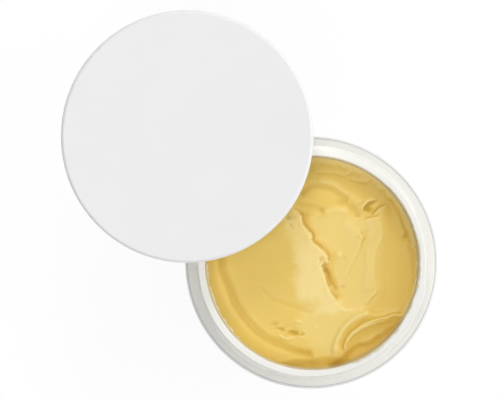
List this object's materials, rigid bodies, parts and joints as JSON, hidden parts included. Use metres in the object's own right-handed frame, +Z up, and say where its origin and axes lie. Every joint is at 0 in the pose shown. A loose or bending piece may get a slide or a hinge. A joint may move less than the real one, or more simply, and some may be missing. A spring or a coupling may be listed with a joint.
{
  "type": "jar of shoe cream",
  "caption": "White double-walled screw-top jar of pale yellow shoe cream, its flat smooth lid taken off and laid across the rim.",
  "frame": {"origin": "centre of the jar's underside, on the jar's axis, in the plane of the foot ring", "axes": "+Z up along the jar's axis; the lid's axis is parallel to it, towards -X and +Y; +Y is the top of the view from above"},
  "size_m": [0.1419, 0.1426, 0.0805],
  "materials": {
    "white_shell": "satin",
    "white_cup": "satin",
    "cream": "satin",
    "white_lid": "satin",
    "white_insert": "satin",
    "foam_liner": "matte"
  },
  "bodies": {
    "jar": {"jar_shell": "white_shell", "inner_cup": "white_cup", "shoe_cream": "cream"},
    "liner": {"lid_liner": "foam_liner"},
    "lid": {"lid_shell": "white_lid", "lid_insert": "white_insert"}
  },
  "joints": [
    {"name": "lid_lift", "type": "slide", "parent": "jar", "child": "liner", "axis": [0, 0, 1], "range_m": [0, 0.07]},
    {"name": "lid_turn", "type": "hinge", "parent": "liner", "child": "lid", "pos_m": [-0.04683, 0.04749, 0.0635], "axis": [0, 0, 1], "continuous": true}
  ]
}
